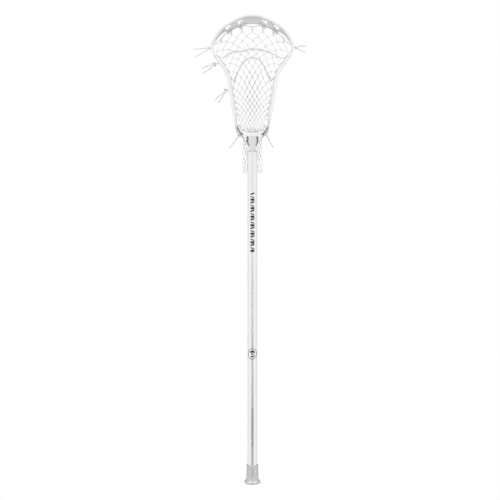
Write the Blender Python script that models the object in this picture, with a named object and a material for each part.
"""A strung lacrosse stick, standing on its butt cap.

Metres, +Z up along the shaft. The origin is the centre of the butt cap's flat end.
The open face of the head looks towards -Y and the pocket hangs towards +Y.
Tables and constants are in millimetres; every shape is scaled by MM as it is made.
"""

import math

import bmesh
import bpy
from mathutils import Matrix, Vector

MM = 0.001
GAP = 0.3

# Shaft: an eight-sided alloy tube, a square with cut corners.
SHAFT_HALF = 11.0
SHAFT_FACET_HALF = 3.75
SHAFT_WALL = 1.5
SHAFT_BOTTOM = 5.0
SHAFT_TOP = 788.0

# Butt cap: a rubber cup pushed over the tube.
CAP_TOP = 41.0
CAP_OUTLINE = [(17.2, 1.5), (17.6, 4.5), (17.0, 6.0), (15.2, 7.4), (14.7, 9.5), (14.5, 14.0), (13.4, 37.4), (13.7, 38.0)]
CAP_SIDES = 32

# Head: the outer edge of the right half, from the collar up to the tip of the scoop.
# x, z: the outer edge. front, back: where the wall starts and ends in y.
# rail: width of the front rail. lean: how far inside the outer edge the back rail ends.
HEAD_OUTLINE = [
    (12.6, 757.0, -13.5, 13.5, 3.5, 3.5),
    (12.8, 763.1, -13.5, 14.0, 3.5, 3.5),
    (13.4, 769.2, -13.5, 15.0, 3.5, 3.5),
    (15.5, 776.3, -13.3, 17.0, 3.3, 3.5),
    (18.0, 782.4, -13.0, 19.0, 3.5, 3.5),
    (22.1, 791.2, -12.5, 23.0, 2.8, 3.0),
    (30.6, 799.9, -12.0, 27.0, 2.3, 2.6),
    (37.3, 808.6, -11.5, 31.0, 2.4, 2.8),
    (40.8, 821.3, -10.5, 35.0, 3.4, 5.2),
    (43.8, 837.1, -9.5, 38.5, 5.0, 8.6),
    (47.3, 853.8, -8.5, 41.0, 6.3, 10.4),
    (50.6, 875.2, -7.3, 43.0, 7.0, 10.4),
    (53.4, 892.4, -6.5, 44.0, 7.0, 10.1),
    (55.6, 908.7, -5.8, 44.0, 7.0, 9.6),
    (57.4, 920.9, -5.2, 44.0, 7.0, 9.8),
    (60.7, 931.0, -5.0, 43.8, 6.9, 11.0),
    (66.7, 944.1, -5.0, 43.2, 6.8, 12.0),
    (76.1, 958.3, -5.0, 42.3, 6.7, 12.6),
    (83.6, 968.8, -5.2, 41.2, 6.7, 12.3),
    (90.7, 980.7, -5.7, 39.6, 6.8, 10.8),
    (94.9, 992.1, -6.4, 37.5, 7.0, 8.3),
    (95.2, 1001.9, -7.4, 35.0, 7.3, 4.7),
    (91.1, 1014.6, -8.8, 31.3, 7.3, 3.6),
    (84.9, 1025.1, -10.0, 28.0, 7.1, 4.1),
    (77.8, 1034.0, -11.2, 25.0, 6.9, 5.2),
    (68.2, 1042.7, -12.2, 21.5, 6.8, 7.3),
    (54.7, 1051.5, -13.2, 17.5, 6.5, 10.5),
    (37.1, 1060.5, -14.0, 14.2, 6.1, 13.4),
    (18.5, 1066.3, -14.6, 12.4, 5.9, 14.6),
    (0.0, 1067.0, -14.8, 11.8, 4.9, 13.9),
]
WALL = 2.8
FRONT_RAIL_DEPTH = 6.0
BACK_RAIL_DEPTH = 7.0
BACK_RAIL_WIDTH = 5.5

# Socket: the sleeve that takes the shaft, closed at its upper end.
SOCKET_HALF = 12.8
SOCKET_FACET_HALF = 8.8
SOCKET_DEPTH_HALF = 13.5
SOCKET_BOTTOM = 757.0
SOCKET_TOP = 794.5
BORE_HALF = SHAFT_HALF + GAP
BORE_TOP = SHAFT_TOP + 1.0

# Ball stop: a U-shaped wall across the throat, with a foam pad on its mouth side.
STOP_CENTRE_Z = 838.0
STOP_POWER = 2.9
STOP_OUTER = (35.6, 44.6)
STOP_INNER = (34.0, 42.7)
PAD_INNER = (32.2, 39.0)
STOP_FRONT, STOP_BACK = -9.5, 28.0
PAD_FRONT, PAD_BACK = -8.0, 26.0
STOP_SWEEP = math.radians(76)
PAD_SWEEP = math.radians(70)

# Throat back plate: closes the slots between the ball stop, the rails and the socket.
PLATE_THICKNESS = 2.4
PLATE_INSET = 3.4
PLATE_TOP = 816.0

# Right shoulder, between the sleeve and the wall, and the slot beside the sleeve's web: outlines in x and z.
SHOULDER = [(12.0, 795.0), (20.5, 797.4), (21.3, 792.5), (18.2, 784.0), (15.2, 777.0), (12.0, 777.0)]
SHOULDER_Y = (-12.6, 15.0)
SLOT = [(8.4, 790.6), (13.7, 790.6), (13.7, 777.6), (7.6, 769.2), (6.9, 770.0), (9.8, 777.6)]
SLOT_Y = (-20.0, 2.0)

# Screw that holds the head on the shaft, from the back.
SCREW_Z = 775.0
SCREW_RADIUS = 2.0
SCREW_HEAD_RADIUS = 4.6
SCREW_HEAD = (14.6, 17.0)
SCREW_TIP = 6.5

# Windows in the sidewall: the stretch of the outer edge in z, and the slant of the ends.
SIDE_WINDOWS = [(845.0, 868.0, 3.0), (875.0, 902.0, 3.0), (934.0, 953.0, 2.0), (961.0, 978.0, -2.0),
                (986.0, 1004.0, -3.0), (1012.0, 1026.0, -2.0)]
WINDOW_CORNER = 3.0
RAIL_HOLES_Z = [848.0, 864.0, 880.0, 896.0, 912.0, 934.0, 951.0, 967.0, 983.0]
RAIL_HOLE = (5.0, 3.2)
SCOOP_HOLES = [(27.2, 1055.0, -14.0), (55.0, 1042.8, -33.0)]
SCOOP_HOLE_LENGTH, SCOOP_HOLE_HEIGHT = 14.0, 6.0
SCOOP_HOLE_RISE = 0.3

# Pocket net: half width and depth of its side edge, and depth of its middle, by height.
NET_THICKNESS = 2.0
NET_TOP_MIDDLE, NET_TOP_SIDE = 1043.5, 1007.8
NET_BOTTOM_MIDDLE, NET_BOTTOM_SIDE = 802.5, 805.0
NET_EDGE = [(1007.8, 85.8, 33.5), (994.5, 82.6, 36.0), (978.7, 72.5, 38.5), (964.5, 62.4, 39.6),
            (950.3, 54.5, 40.4), (932.8, 47.5, 41.0), (912.2, 43.8, 41.0), (893.5, 41.1, 40.5),
            (864.1, 35.7, 38.0), (849.2, 33.6, 35.8), (836.6, 30.8, 35.2), (819.0, 24.0, 32.5),
            (805.0, 11.5, 31.5)]
NET_MIDDLE = [(0.0, 15.5), (0.1, 34.0), (0.2, 48.0), (0.35, 62.0), (0.5, 71.5), (0.62, 76.0), (0.75, 74.0),
              (0.87, 60.0), (0.95, 43.0), (1.0, 33.0)]
NET_COLUMNS, NET_ROWS = 14, 20

# Tail of the mesh, hanging behind the throat and the shaft: z and y of its middle.
TAIL_ROUTE = [(797.0, 31.2), (791.0, 29.9), (780.0, 24.8), (766.0, 21.2), (749.0, 19.3), (729.0, 18.4), (708.9, 18.2)]
TAIL_WIDTH = 48.0
TAIL_THICKNESS = 2.2

# Strings.
STRING_DIAMETER = 2.5
TOP_STRING_DIAMETER = 3.0
SHOOTING_DIAMETER = 3.6
TOP_STRING = [(-85.6, 31.0, 1010.7), (-69.7, 26.0, 1027.2), (-53.1, 21.5, 1040.1), (-25.5, 17.0, 1052.3),
              (0.0, 15.4, 1048.1), (25.5, 17.0, 1052.3), (53.1, 21.5, 1040.1), (69.7, 26.0, 1027.2),
              (85.6, 31.0, 1010.7)]
SIDE_STRING_Z = (836.0, 996.0)
BOTTOM_STRING = [(-30.5, 38.5, 826.0), (-24.0, 36.5, 812.0), (-12.0, 35.6, 803.5), (0.0, 35.4, 799.5),
                 (12.0, 35.6, 803.5), (24.0, 36.5, 812.0), (30.5, 38.5, 826.0)]
# Shooting strings, as places on the net: across from -1 to 1, and down from 0 to 1.
UPPER_SHOOTER = [(-0.95, 0.145), (-0.8, 0.155), (-0.55, 0.165), (-0.28, 0.177), (-0.08, 0.161), (0.2, 0.165),
                 (0.5, 0.171), (0.78, 0.168), (0.95, 0.15)]
LOWER_SHOOTER = [(-0.95, 0.415), (-0.85, 0.381), (-0.65, 0.335), (-0.39, 0.279), (-0.16, 0.241), (0.0, 0.235),
                 (0.28, 0.253), (0.5, 0.297), (0.66, 0.34), (0.88, 0.38), (0.95, 0.395)]

# Tie-off knots outside the sidewall: where the string leaves the rail, the knot's centre and its half sizes.
KNOTS = {
    "knot_top_left": ((-95.8, 33.5, 1003.8), (-101.3, 33.5, 1004.2), (3.4, 3.2, 3.4)),
    "knot_top_right": ((95.8, 33.5, 1004.8), (101.6, 33.5, 1005.2), (3.4, 3.2, 3.4)),
    "knot_upper_left": ((-76.4, 38.0, 969.5), (-88.5, 38.0, 967.7), (5.0, 4.0, 5.0)),
    "knot_lower_left": ((-52.3, 40.5, 908.1), (-62.4, 40.5, 907.4), (4.0, 3.6, 4.6)),
    "knot_bottom_left": ((-30.2, 28.5, 801.0), (-31.7, 32.6, 799.9), (3.0, 3.0, 3.0)),
    "knot_bottom_right": ((31.4, 28.9, 802.0), (33.1, 32.6, 801.1), (3.0, 3.0, 3.0)),
}
# Free ends of the strings: each starts at a knot and is cut off bare.
STRING_ENDS = {
    "string_end_top_left_a": [(-105.4, 33.5, 1004.4), (-114.9, 31.5, 1003.2), (-125.7, 31.0, 1001.6),
        (-136.7, 34.0, 1001.8)],
    "string_end_top_left_b": [(-104.4, 33.9, 1000.6), (-112.6, 35.0, 996.3), (-122.6, 38.5, 991.5),
        (-132.6, 40.0, 985.5)],
    "string_end_top_right_a": [(105.7, 33.5, 1006.8), (110.5, 30.0, 1008.1), (117.1, 20.0, 1005.2),
        (123.2, 6.0, 1001.8)],
    "string_end_top_right_b": [(105.4, 34.2, 1002.9), (111.6, 39.0, 1001.9), (118.9, 47.0, 1001.2),
        (126.2, 59.5, 1002.7)],
    "string_end_upper_left_a": [(-94.3, 37.8, 965.7), (-101.6, 35.5, 963.9), (-109.7, 29.0, 959.8),
        (-117.1, 17.5, 953.3)],
    "string_end_upper_left_b": [(-93.3, 39.2, 963.0), (-100.1, 43.0, 958.5), (-108.8, 49.5, 954.1),
        (-118.1, 55.0, 949.8)],
    "string_end_lower_left_a": [(-66.3, 40.2, 903.3), (-72.4, 38.0, 897.1), (-80.1, 33.5, 890.4),
        (-87.5, 24.0, 881.3)],
    "string_end_lower_left_b": [(-63.9, 41.2, 902.1), (-69.1, 43.5, 894.7), (-74.5, 48.0, 888.4),
        (-80.5, 56.5, 881.8)],
    "string_end_bottom_left": [(-33.8, 33.4, 796.9), (-40.4, 33.6, 788.1), (-46.5, 33.4, 779.4), (-53.9, 31.0, 769.7)],
    "string_end_bottom_right": [(34.5, 33.4, 797.8), (39.7, 34.5, 788.9), (43.9, 36.5, 781.4), (49.5, 45.0, 773.8)],
}

WHITE_NYLON = ("head_plastic", (0.86, 0.86, 0.85), 0.34, 0.0)
SATIN_ALLOY = ("shaft_alloy", (0.78, 0.78, 0.79), 0.32, 0.85)
GREY_RUBBER = ("cap_rubber", (0.66, 0.66, 0.65), 0.7, 0.0)
WHITE_CORD = ("string_nylon", (0.82, 0.82, 0.80), 0.75, 0.0)
WARM_MESH = ("mesh_fiber", (0.80, 0.79, 0.75), 0.8, 0.0)
WHITE_FOAM = ("foam_pad", (0.86, 0.86, 0.86), 0.85, 0.0)
DARK_STEEL = ("screw_steel", (0.45, 0.45, 0.46), 0.35, 1.0)


# Collections, materials and curves.

def start_empty():
    for old in list(bpy.data.objects):
        bpy.data.objects.remove(old, do_unlink=True)
    parts = bpy.data.collections.new("lacrosse_stick")
    cutters = bpy.data.collections.new("cutters")
    for group in (parts, cutters):
        bpy.context.scene.collection.children.link(group)
    return parts, cutters


PARTS, CUTTERS = start_empty()


def material(kind):
    name, colour, roughness, metallic = kind
    made = bpy.data.materials.get(name) or bpy.data.materials.new(name)
    made.use_nodes = True
    shader = made.node_tree.nodes["Principled BSDF"]
    shader.inputs["Base Color"].default_value = (*colour, 1.0)
    shader.inputs["Roughness"].default_value = roughness
    shader.inputs["Metallic"].default_value = metallic
    made.diffuse_color = (*colour, 1.0)
    return made


def hermite(rows, at):
    """Each column of rows at the place `at` of the first column, along a smooth curve."""
    rows = sorted(rows)
    at = min(max(at, rows[0][0]), rows[-1][0])
    k = max(i for i in range(len(rows) - 1) if rows[i][0] <= at)
    low, high = rows[k], rows[k + 1]
    before, after = rows[max(k - 1, 0)], rows[min(k + 2, len(rows) - 1)]
    width = high[0] - low[0]
    t = (at - low[0]) / width
    found = []
    for c in range(1, len(low)):
        start = (high[c] - before[c]) / (high[0] - before[0]) * width
        end = (after[c] - low[c]) / (after[0] - low[0]) * width
        found.append(
            (2 * t**3 - 3 * t**2 + 1) * low[c]
            + (t**3 - 2 * t**2 + t) * start
            + (3 * t**2 - 2 * t**3) * high[c]
            + (t**3 - t**2) * end
        )
    return found


def curve_through(points, steps):
    """The points of a Catmull-Rom curve through `points`, with `steps` pieces between each two."""
    ends = [2 * Vector(points[0]) - Vector(points[1])], [2 * Vector(points[-1]) - Vector(points[-2])]
    p = ends[0] + [Vector(q) for q in points] + ends[1]
    made = []
    for k in range(1, len(p) - 2):
        for s in range(steps):
            t = s / steps
            made.append(
                0.5
                * (
                    2 * p[k]
                    + (p[k + 1] - p[k - 1]) * t
                    + (2 * p[k - 1] - 5 * p[k] + 4 * p[k + 1] - p[k + 2]) * t**2
                    + (3 * p[k] - p[k - 1] - 3 * p[k + 1] + p[k + 2]) * t**3
                )
            )
    return made + [p[-2]]


def evenly(points, spacing):
    """The same route with a point about every `spacing`."""
    lengths = [(b - a).length for a, b in zip(points, points[1:])]
    total = sum(lengths)
    count = max(3, round(total / spacing))
    made, k, passed = [points[0]], 0, 0.0
    for n in range(1, count):
        target = total * n / count
        while passed + lengths[k] < target:
            passed += lengths[k]
            k += 1
        made.append(points[k].lerp(points[k + 1], (target - passed) / lengths[k]))
    return made + [points[-1]]


# Objects.

def add_object(name, mesh, group):
    made = bpy.data.objects.new(name, mesh)
    group.objects.link(made)
    if group is CUTTERS:
        made.hide_render = True
        made.display_type = "WIRE"
    return made


def finish_mesh(bm, name, kind=None, group=None, crease=35.0):
    bmesh.ops.scale(bm, vec=(MM, MM, MM), verts=bm.verts)
    bmesh.ops.recalc_face_normals(bm, faces=bm.faces)
    mesh = bpy.data.meshes.new(name)
    bm.to_mesh(mesh)
    bm.free()
    mesh.shade_smooth()
    mesh.set_sharp_from_angle(angle=math.radians(crease))
    if kind:
        mesh.materials.append(material(kind))
    return add_object(name, mesh, group or PARTS)


def loft(name, rings, kind=None, group=None):
    """A closed body through a row of rings that each have the same number of points."""
    bm = bmesh.new()
    rows = [[bm.verts.new(p) for p in ring] for ring in rings]
    around = len(rows[0])
    for low, high in zip(rows, rows[1:]):
        for k in range(around):
            bm.faces.new((low[k], low[(k + 1) % around], high[(k + 1) % around], high[k]))
    bm.faces.new(rows[0])
    bm.faces.new(rows[-1][::-1])
    return finish_mesh(bm, name, kind, group)


def prism(name, outline, low, high, axis="Z", kind=None, group=None):
    """A flat outline pushed along an axis from low to high. An outline for Y holds (x, z)."""
    def at(p, level):
        return (p[0], p[1], level) if axis == "Z" else (p[0], level, p[1])
    return loft(name, [[at(p, low) for p in outline], [at(p, high) for p in outline]], kind, group)


def cylinder(name, radius, start, end, kind=None, group=None, sides=24):
    start, end = Vector(start), Vector(end)
    bm = bmesh.new()
    bmesh.ops.create_cone(bm, cap_ends=True, segments=sides, radius1=radius, radius2=radius,
                          depth=(end - start).length)
    turn = Vector((0, 0, 1)).rotation_difference(end - start).to_matrix().to_4x4()
    bmesh.ops.transform(bm, matrix=Matrix.Translation((start + end) / 2) @ turn, verts=bm.verts)
    return finish_mesh(bm, name, kind, group)


def boolean(target, other, operation):
    step = target.modifiers.new(f"{operation.lower()}_{other.name}", "BOOLEAN")
    step.operation = operation
    step.object = other


def cut_corners(half_x, half_y, facet_x, facet_y):
    """An eight-sided outline: a rectangle with its corners cut off."""
    quarter = [(half_x, facet_y), (facet_x, half_y)]
    return (quarter + [(-x, y) for x, y in quarter[::-1]] + [(-x, -y) for x, y in quarter]
            + [(x, -y) for x, y in quarter[::-1]])


def cord(name, points, diameter, kind):
    """A round cord along `points`, which are in millimetres."""
    data = bpy.data.curves.new(name, "CURVE")
    data.dimensions = "3D"
    data.bevel_depth = diameter / 2 * MM
    data.bevel_resolution = 2
    data.use_fill_caps = True
    line = data.splines.new("POLY")
    line.points.add(len(points) - 1)
    for knot, p in zip(line.points, points):
        knot.co = (p[0] * MM, p[1] * MM, p[2] * MM, 1.0)
    data.materials.append(material(kind))
    made = bpy.data.objects.new(name, data)
    PARTS.objects.link(made)
    return made


# The head.

def edge_at(k, rows):
    """The outer edge, its inward direction and its sizes at row k of a closed-ended list of rows."""
    before, after = rows[max(k - 1, 0)], rows[min(k + 1, len(rows) - 1)]
    along = Vector((after[0] - before[0], after[1] - before[1])).normalized()
    return Vector(rows[k][:2]), Vector((-along.y, along.x)), rows[k][2:]


def wall_ring(corner, inward, sizes):
    """The outline of the wall where it is cut across: front rail, web and back rail."""
    front, back, rail, lean = sizes
    wall = min(WALL, rail - 0.4)
    web_back = max(lean - BACK_RAIL_WIDTH + 0.8, 0.6)
    inner = max(lean, web_back + wall)
    section = [
        (0.0, front + 1.8), (1.0, front), (rail - 1.0, front), (rail, front + 1.8),
        (rail - 0.4, front + FRONT_RAIL_DEPTH), (0.6 + wall, front + FRONT_RAIL_DEPTH + 1.2),
        (web_back + wall - 0.4, back - BACK_RAIL_DEPTH - 1.2), (inner, back - BACK_RAIL_DEPTH),
        (inner, back - 1.5), (inner - 1.2, back), (web_back + 0.2, back), (web_back - 0.8, back - 1.5),
        (web_back - 0.4, back - BACK_RAIL_DEPTH), (0.6, front + FRONT_RAIL_DEPTH),
    ]
    return [(corner.x + a * inward.x, y, corner.y + a * inward.y) for a, y in section]


def whole_outline():
    left = [(-row[0], *row[1:]) for row in HEAD_OUTLINE[-2::-1]]
    return HEAD_OUTLINE + left


def side_place(z):
    """On the right sidewall below the scoop at height z: the edge, inward and along directions, and sizes."""
    rows = sorted((row[1], row[0], *row[2:]) for row in HEAD_OUTLINE)
    x, front, back, rail, lean = hermite(rows, z)
    along = Vector((hermite(rows, z + 1)[0] - hermite(rows, z - 1)[0], 2.0)).normalized()
    return Vector((x, z)), Vector((-along.y, along.x)), along, (front, back, rail, lean)


def stop_outline(sizes, sweep, steps=20):
    """The U of the ball stop from its left end, round the bottom, to its right end."""
    made = []
    for k in range(steps + 1):
        turn = -sweep + 2 * sweep * k / steps
        across, down = math.sin(turn), math.cos(turn)
        made.append((
            sizes[0] * math.copysign(abs(across) ** (2 / STOP_POWER), across),
            STOP_CENTRE_Z - sizes[1] * down ** (2 / STOP_POWER),
        ))
    return made


def u_band(name, outer, inner, sweep, front, back, kind=None, group=None):
    rings = [
        [(*pair[0][:1], y, pair[0][1]) if first else (pair[1][0], y, pair[1][1])
         for first, y in ((True, front), (False, front), (False, back), (True, back))]
        for pair in zip(stop_outline(outer, sweep), stop_outline(inner, sweep))
    ]
    return loft(name, rings, kind, group)


def back_plate():
    rows = sorted((row[1], row[0], row[3]) for row in HEAD_OUTLINE)
    rings = []
    for z in (765.0, 776.0, 784.0, 790.5, 799.0, 807.5, PLATE_TOP):
        x, back = hermite(rows, z)
        y = back - PLATE_INSET
        rings.append([(s * (x - 2.0), y + d, z) for s, d in ((-1, 0), (1, 0), (1, -PLATE_THICKNESS), (-1, -PLATE_THICKNESS))])
    return loft("throat_back_plate", rings, group=CUTTERS)


def side_window(name, low, high, slant, side):
    """A cutter for one window: a four-sided outline with cut corners, pushed through the wall."""
    corner, inward, along, sizes = side_place((low + high) / 2)
    half = (high - low) / 2 / along.y
    y0, y1 = sizes[0] + 9.5, sizes[1] - 10.5
    c = WINDOW_CORNER
    outline = [(-half + c, y0), (half - c, y0), (half, y0 + c), (half + slant, y1 - c), (half + slant - c, y1),
               (-half + slant + c, y1), (-half + slant, y1 - c), (-half, y0 + c)]
    rings = []
    for depth in (-8.0, 22.0):
        rings.append([
            (side * (corner.x + s * along.x + depth * inward.x), y, corner.y + s * along.y + depth * inward.y)
            for s, y in outline
        ])
    return loft(name, rings, group=CUTTERS)


def rail_hole(name, z, side):
    corner, inward, along, sizes = side_place(z)
    s, h = RAIL_HOLE[0] / 2, RAIL_HOLE[1] / 2
    y = sizes[1] - BACK_RAIL_DEPTH / 2
    rings = [
        [(side * (corner.x + a * along.x + depth * inward.x), y + b, corner.y + a * along.y + depth * inward.y)
         for a, b in ((-s, -h), (s, -h), (s, h), (-s, h))]
        for depth in (-8.0, 18.0)
    ]
    return loft(name, rings, group=CUTTERS)


def scoop_hole(name, x, z, tilt, side):
    tilt = math.radians(tilt) * side
    half, tall, c = SCOOP_HOLE_LENGTH / 2, SCOOP_HOLE_HEIGHT / 2, 2.0
    outline = [(-half + c, -tall), (half - c, -tall), (half, -tall + c), (half, tall - c), (half - c, tall),
               (-half + c, tall), (-half, tall - c), (-half, -tall + c)]
    turned = [(side * x + a * math.cos(tilt) - b * math.sin(tilt), z + a * math.sin(tilt) + b * math.cos(tilt))
              for a, b in outline]
    rings = [[(x, y, z + SCOOP_HOLE_RISE * y) for x, z in turned] for y in (-30.0, 40.0)]
    return loft(name, rings, group=CUTTERS)


def make_head():
    rows = whole_outline()
    head = loft("head_frame", [wall_ring(*edge_at(k, rows)) for k in range(len(rows))], WHITE_NYLON)
    socket = prism("socket_sleeve", cut_corners(SOCKET_HALF, SOCKET_DEPTH_HALF, SOCKET_FACET_HALF, 7.5),
                   SOCKET_BOTTOM, SOCKET_TOP, group=CUTTERS)
    stop = u_band("ball_stop_wall", STOP_OUTER, STOP_INNER, STOP_SWEEP, STOP_FRONT, STOP_BACK, group=CUTTERS)
    plate = back_plate()
    middle = tuple((a + b) / 2 for a, b in zip(STOP_OUTER, STOP_INNER))
    mouth = prism("mouth_space", stop_outline(middle, math.radians(89.9)), -30.0, 60.0, "Y", group=CUTTERS)
    boolean(plate, mouth, "DIFFERENCE")
    shoulders = [prism(f"shoulder_{side}", [(side * x, z) for x, z in SHOULDER], *SHOULDER_Y, "Y", group=CUTTERS)
                 for side in (-1, 1)]
    for piece in (socket, stop, plate, *shoulders):
        boolean(head, piece, "UNION")
    bore = prism("shaft_bore", cut_corners(BORE_HALF, BORE_HALF, SHAFT_FACET_HALF, SHAFT_FACET_HALF),
                 SOCKET_BOTTOM - 5, BORE_TOP, group=CUTTERS)
    cuts = [
        bore,
        cylinder("screw_hole", SCREW_RADIUS + GAP, (0, 5, SCREW_Z), (0, 40, SCREW_Z), group=CUTTERS),
        cylinder("screw_seat", SCREW_HEAD_RADIUS + 0.6, (0, SCREW_HEAD[0] - GAP, SCREW_Z), (0, 40, SCREW_Z),
                 group=CUTTERS),
    ]
    for side, word in ((-1, "left"), (1, "right")):
        cuts += [side_window(f"window_{word}_{k}", *window, side) for k, window in enumerate(SIDE_WINDOWS)]
        cuts += [rail_hole(f"rail_hole_{word}_{k}", z, side) for k, z in enumerate(RAIL_HOLES_Z)]
        cuts += [scoop_hole(f"scoop_hole_{word}_{k}", *hole, side) for k, hole in enumerate(SCOOP_HOLES)]
        cuts.append(prism(f"slot_{word}", [(side * x, z) for x, z in SLOT], *SLOT_Y, "Y", group=CUTTERS))
    for cutter in cuts:
        boolean(head, cutter, "DIFFERENCE")
    u_band("ball_stop_pad", tuple(s - GAP for s in STOP_INNER), PAD_INNER, PAD_SWEEP, PAD_FRONT, PAD_BACK, WHITE_FOAM)


def make_screw():
    outline = [(0, SCREW_HEAD[1]), (2.6, SCREW_HEAD[1]), (4.0, SCREW_HEAD[1] - 0.7), (SCREW_HEAD_RADIUS, SCREW_HEAD[0]),
               (SCREW_RADIUS, SCREW_HEAD[0]), (SCREW_RADIUS, SCREW_TIP + 0.8), (SCREW_RADIUS - 0.8, SCREW_TIP),
               (0, SCREW_TIP)]
    sides = 20
    rings = [
        [(r * math.cos(2 * math.pi * k / sides), y, SCREW_Z + r * math.sin(2 * math.pi * k / sides))
         for k in range(sides)]
        for r, y in outline[1:-1]
    ]
    screw = loft("head_screw", rings, DARK_STEEL)
    socket = cylinder("screw_drive", 1.6, (0, SCREW_HEAD[1] - 1.4, SCREW_Z), (0, SCREW_HEAD[1] + 2, SCREW_Z),
                      group=CUTTERS, sides=6)
    boolean(screw, socket, "DIFFERENCE")


# The shaft and its cap.

def make_shaft():
    outer = cut_corners(SHAFT_HALF, SHAFT_HALF, SHAFT_FACET_HALF, SHAFT_FACET_HALF)
    shrink = (SHAFT_HALF - SHAFT_WALL) / SHAFT_HALF
    tube = prism("shaft_tube", outer, SHAFT_BOTTOM, SHAFT_TOP, kind=SATIN_ALLOY)
    hollow = prism("shaft_hollow", [(x * shrink, y * shrink) for x, y in outer], SHAFT_BOTTOM - 5, SHAFT_TOP + 5,
                   group=CUTTERS)
    boolean(tube, hollow, "DIFFERENCE")
    hole = cylinder("shaft_screw_hole", SCREW_RADIUS + GAP, (0, 5, SCREW_Z), (0, 20, SCREW_Z), group=CUTTERS)
    boolean(tube, hole, "DIFFERENCE")


def make_cap():
    def ring(radius, z):
        return [(radius * math.cos(2 * math.pi * k / CAP_SIDES), radius * math.sin(2 * math.pi * k / CAP_SIDES), z)
                for k in range(CAP_SIDES)]
    outline = [(15.8, 0.0)] + CAP_OUTLINE + [(13.7, CAP_TOP - 0.6), (13.3, CAP_TOP)]
    cap = loft("end_cap", [ring(r, z) for r, z in outline], GREY_RUBBER)
    recess = prism("cap_recess", cut_corners(BORE_HALF, BORE_HALF, SHAFT_FACET_HALF, SHAFT_FACET_HALF),
                   SHAFT_BOTTOM - GAP, CAP_TOP + 5, group=CUTTERS)
    boolean(cap, recess, "DIFFERENCE")


# The net, its strings and its tail.

def net_point(u, v):
    """The middle of the net's thickness: u across from -1 to 1, v down from 0 to 1."""
    side_z = NET_TOP_SIDE + (NET_BOTTOM_SIDE - NET_TOP_SIDE) * v
    middle_z = NET_TOP_MIDDLE + (NET_BOTTOM_MIDDLE - NET_TOP_MIDDLE) * v
    half, edge_y = hermite(NET_EDGE, side_z)
    middle_y = hermite(NET_MIDDLE, v)[0]
    rise = 1 - abs(u) ** 3
    swell = (1 - u * u) ** 0.8
    return Vector((u * half, edge_y + (middle_y - edge_y) * swell, side_z + (middle_z - side_z) * rise))


def net_normal(u, v):
    """The direction out of the net towards the open face of the head."""
    du, dv = 0.01, 0.004
    across = net_point(min(u + du, 1), v) - net_point(max(u - du, -1), v)
    down = net_point(u, min(v + dv, 1)) - net_point(u, max(v - dv, 0))
    normal = across.cross(down).normalized()
    return normal if normal.y < 0 else -normal


def sheet_solid(name, point, normal, columns, rows, thickness, kind):
    """A closed sheet: the surface point(i, j) thickened to both sides."""
    bm = bmesh.new()
    sides = []
    for sign in (1, -1):
        sides.append([
            [bm.verts.new(point(i, j) + normal(i, j) * sign * thickness / 2) for i in range(columns + 1)]
            for j in range(rows + 1)
        ])
    for grid in sides:
        for j in range(rows):
            for i in range(columns):
                bm.faces.new((grid[j][i], grid[j][i + 1], grid[j + 1][i + 1], grid[j + 1][i]))
    rim = ([(0, j) for j in range(rows)] + [(i, rows) for i in range(columns)]
           + [(columns, j) for j in range(rows, 0, -1)] + [(i, 0) for i in range(columns, 0, -1)])
    front, back = sides
    for (i, j), (m, n) in zip(rim, rim[1:] + rim[:1]):
        bm.faces.new((front[j][i], front[n][m], back[n][m], back[j][i]))
    return finish_mesh(bm, name, kind)


def make_net():
    def place(i):
        return math.sin(math.pi / 2 * (2 * i / NET_COLUMNS - 1))
    sheet_solid(
        "pocket_mesh",
        lambda i, j: net_point(place(i), j / NET_ROWS),
        lambda i, j: net_normal(place(i), j / NET_ROWS),
        NET_COLUMNS, NET_ROWS, NET_THICKNESS, WARM_MESH,
    )


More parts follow.
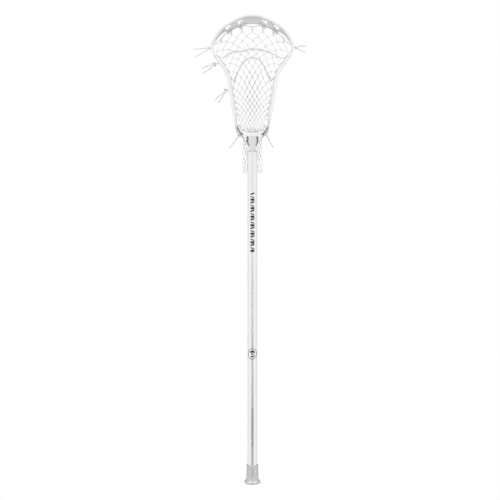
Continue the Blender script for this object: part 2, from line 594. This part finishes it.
def make_tail():
    line = evenly(curve_through([(0, y, z) for z, y in TAIL_ROUTE], 4), 9.0)
    last = len(line) - 1

    def normal(i, j):
        along = line[min(j + 1, last)] - line[max(j - 1, 0)]
        return Vector((1, 0, 0)).cross(along).normalized()
    sheet_solid("mesh_tail", lambda i, j: line[j] + Vector(((i - 1) * TAIL_WIDTH / 2, 0, 0)), normal, 2, last,
                TAIL_THICKNESS, WARM_MESH)


def shooter(name, route):
    places = evenly(curve_through([(u, v, 0) for u, v in route], 6), 0.055)
    lift = NET_THICKNESS / 2 + SHOOTING_DIAMETER / 2 + 2 * GAP
    points = [net_point(p.x, p.y) + net_normal(p.x, p.y) * lift for p in places]
    cord(name, points, SHOOTING_DIAMETER, WHITE_CORD)


def make_strings():
    cord("top_string", evenly(curve_through(TOP_STRING, 6), 2.4 * TOP_STRING_DIAMETER), TOP_STRING_DIAMETER,
         WHITE_CORD)
    cord("bottom_string", evenly(curve_through(BOTTOM_STRING, 6), 2.4 * STRING_DIAMETER), STRING_DIAMETER, WHITE_CORD)
    low, high = SIDE_STRING_Z
    for side, word in ((-1, "left"), (1, "right")):
        points = []
        steps = 24
        for k in range(steps + 1):
            corner, inward, along, sizes = side_place(low + (high - low) * k / steps)
            place = corner + inward * (sizes[3] - 2.2)
            points.append(Vector((side * place.x, sizes[1] + STRING_DIAMETER / 2 + GAP, place.y)))
        cord(f"sidewall_string_{word}", evenly(points, 2.6 * STRING_DIAMETER), STRING_DIAMETER, WHITE_CORD)
    shooter("shooting_string_upper", UPPER_SHOOTER)
    shooter("shooting_string_lower", LOWER_SHOOTER)
    for name, route in STRING_ENDS.items():
        cord(name, evenly(curve_through(route, 6), 2.4 * STRING_DIAMETER), STRING_DIAMETER, WHITE_CORD)


def make_knots():
    for name, (root, centre, halves) in KNOTS.items():
        bm = bmesh.new()
        bmesh.ops.create_uvsphere(bm, u_segments=12, v_segments=8, radius=1.0)
        bmesh.ops.scale(bm, vec=halves, verts=bm.verts)
        bmesh.ops.translate(bm, vec=centre, verts=bm.verts)
        knot = finish_mesh(bm, name, WHITE_CORD, crease=80.0)
        boolean(knot, cylinder(f"{name}_stem", STRING_DIAMETER / 2, root, centre, group=CUTTERS, sides=10), "UNION")


make_head()
make_screw()
make_shaft()
make_cap()
make_net()
make_tail()
make_strings()
make_knots()
